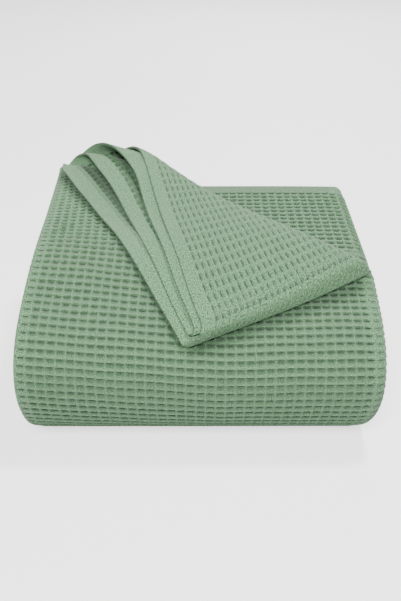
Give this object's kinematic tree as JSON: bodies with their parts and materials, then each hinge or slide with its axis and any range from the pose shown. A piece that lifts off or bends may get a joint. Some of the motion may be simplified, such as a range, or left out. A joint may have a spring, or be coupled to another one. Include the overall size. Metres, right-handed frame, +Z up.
{
  "type": "folded waffle weave blanket",
  "caption": "A waffle weave cotton blanket folded into a thick bundle with a round front, one corner turned over to the front so that its plies fan out at the back.",
  "frame": {"origin": "centre of the bounding box in plan, on the surface that the bundle lies on", "axes": "+X runs along the rounded front face to the viewer's right, +Y from the front face to the back, +Z up"},
  "size_m": [0.3722, 0.3346, 0.239],
  "materials": {
    "cotton": "matte waffle weave"
  },
  "bodies": {
    "root": {"blanket": "cotton"}
  },
  "joints": []
}
